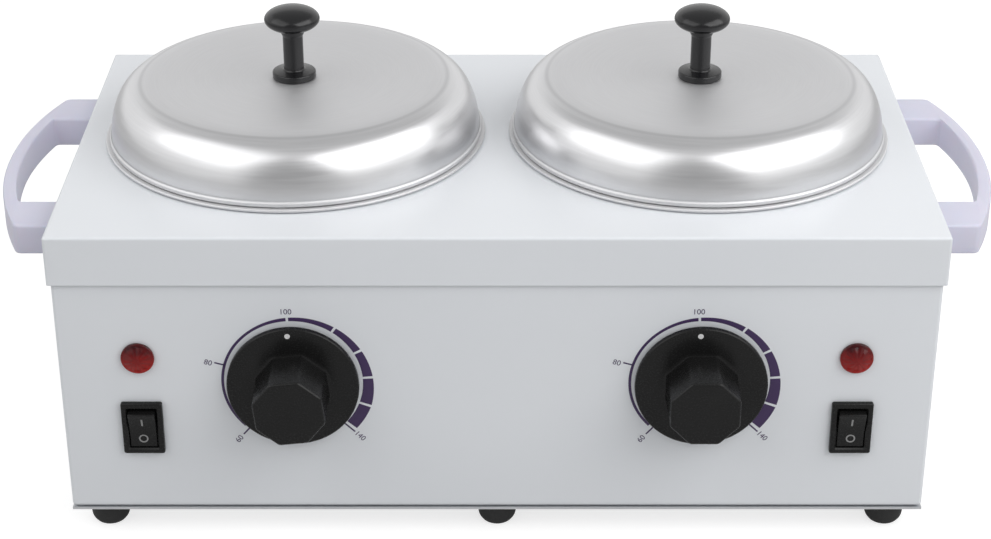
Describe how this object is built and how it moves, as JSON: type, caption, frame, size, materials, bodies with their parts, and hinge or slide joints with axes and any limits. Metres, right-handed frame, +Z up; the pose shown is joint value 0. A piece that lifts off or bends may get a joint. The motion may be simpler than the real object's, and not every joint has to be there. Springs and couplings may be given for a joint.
{
  "type": "double wax warmer",
  "caption": "Folded sheet housing with lift-out wax pots under domed lids, a dial, a rocker switch and a lamp for each pot, and a bow handle on each end.",
  "frame": {"origin": "on the surface that the feet stand on, under the middle of the whole object's box", "axes": "+X to the right seen from the front, +Y from the control panel towards the rear wall, +Z up"},
  "size_m": [0.3726, 0.2046, 0.1749],
  "materials": {
    "white_enamel": "satin powder coat, slightly cool white",
    "zinc_steel": "zinc plated, dull",
    "satin_aluminium": "satin crown with a polished shoulder",
    "spun_aluminium": "spun, fine turning marks",
    "lilac_plastic": "moulded, satin, pale lilac",
    "black_plastic": "moulded, glossy black",
    "black_rubber": "dull black",
    "red_lens": "clear red, faceted",
    "ceramic": "unglazed, off-white",
    "mica_steel": "heat-tinted clad band",
    "copper": "drawn copper",
    "natural_nylon": "moulded, off-white",
    "black_sleeve": "silicone sleeve, black",
    "white_sleeve": "silicone sleeve, off-white"
  },
  "bodies": {
    "housing": {"top_cover": "white_enamel", "body_shell": "white_enamel", "bottom_plate": "zinc_steel", "foot_front_left": "black_rubber", "foot_front_middle": "black_rubber", "foot_front_right": "black_rubber", "foot_rear_left": "black_rubber", "foot_rear_middle": "black_rubber", "foot_rear_right": "black_rubber", "foot_screw_front_left": "zinc_steel", "foot_screw_front_middle": "zinc_steel", "foot_screw_front_right": "zinc_steel", "foot_screw_rear_left": "zinc_steel", "foot_screw_rear_middle": "zinc_steel", "foot_screw_rear_right": "zinc_steel", "handle_left": "lilac_plastic", "handle_right": "lilac_plastic", "handle_screw_left_front": "zinc_steel", "handle_screw_left_rear": "zinc_steel", "handle_screw_right_front": "zinc_steel", "handle_screw_right_rear": "zinc_steel", "well_left": "spun_aluminium", "well_right": "spun_aluminium", "heating_band_left": "mica_steel", "heating_band_right": "mica_steel", "thermostat_body_left": "ceramic", "thermostat_body_right": "ceramic", "thermostat_bulb_left": "copper", "thermostat_bulb_right": "copper", "thermostat_screw_left_inner": "zinc_steel", "thermostat_screw_left_outer": "zinc_steel", "thermostat_screw_right_inner": "zinc_steel", "thermostat_screw_right_outer": "zinc_steel", "switch_housing_left": "black_plastic", "switch_housing_right": "black_plastic", "lamp_lens_left": "red_lens", "lamp_lens_right": "red_lens", "lamp_body_left": "natural_nylon", "lamp_body_right": "natural_nylon", "cord_gland": "black_plastic", "gland_nut": "black_plastic", "terminal_block": "natural_nylon", "supply_lead_left": "black_sleeve", "supply_lead_right": "black_sleeve", "thermostat_lead_left": "white_sleeve", "thermostat_lead_right": "white_sleeve"},
    "pot_left": {"wax_pot_left": "spun_aluminium"},
    "pot_right": {"wax_pot_right": "spun_aluminium"},
    "lid_left": {"lid_left": "satin_aluminium", "lid_knob_left": "black_plastic", "lid_knob_screw_left": "zinc_steel"},
    "lid_right": {"lid_right": "satin_aluminium", "lid_knob_right": "black_plastic", "lid_knob_screw_right": "zinc_steel"},
    "dial_left": {"dial_knob_left": "black_plastic", "thermostat_shaft_left": "zinc_steel"},
    "dial_right": {"dial_knob_right": "black_plastic", "thermostat_shaft_right": "zinc_steel"},
    "rocker_left": {"switch_rocker_left": "black_plastic"},
    "rocker_right": {"switch_rocker_right": "black_plastic"}
  },
  "joints": [
    {"name": "pot_left_lift", "type": "slide", "parent": "housing", "child": "pot_left", "axis": [0, 0, 1], "range_m": [0, 0.1]},
    {"name": "pot_right_lift", "type": "slide", "parent": "housing", "child": "pot_right", "axis": [0, 0, 1], "range_m": [0, 0.1]},
    {"name": "lid_left_lift", "type": "slide", "parent": "pot_left", "child": "lid_left", "axis": [0, 0, 1], "range_m": [0, 0.08]},
    {"name": "lid_right_lift", "type": "slide", "parent": "pot_right", "child": "lid_right", "axis": [0, 0, 1], "range_m": [0, 0.08]},
    {"name": "dial_left_turn", "type": "hinge", "parent": "housing", "child": "dial_left", "pos_m": [-0.07325, -0.0793, 0.0654], "axis": [0, 1, 0], "range_deg": [-129, 141]},
    {"name": "dial_right_turn", "type": "hinge", "parent": "housing", "child": "dial_right", "pos_m": [0.07325, -0.0793, 0.0654], "axis": [0, 1, 0], "range_deg": [-135, 135]},
    {"name": "rocker_left_tilt", "type": "hinge", "parent": "housing", "child": "rocker_left", "pos_m": [-0.1286, -0.0793, 0.0469], "axis": [-1, 0, 0], "range_deg": [0, 20]},
    {"name": "rocker_right_tilt", "type": "hinge", "parent": "housing", "child": "rocker_right", "pos_m": [0.1286, -0.0793, 0.0469], "axis": [-1, 0, 0], "range_deg": [0, 20]}
  ]
}
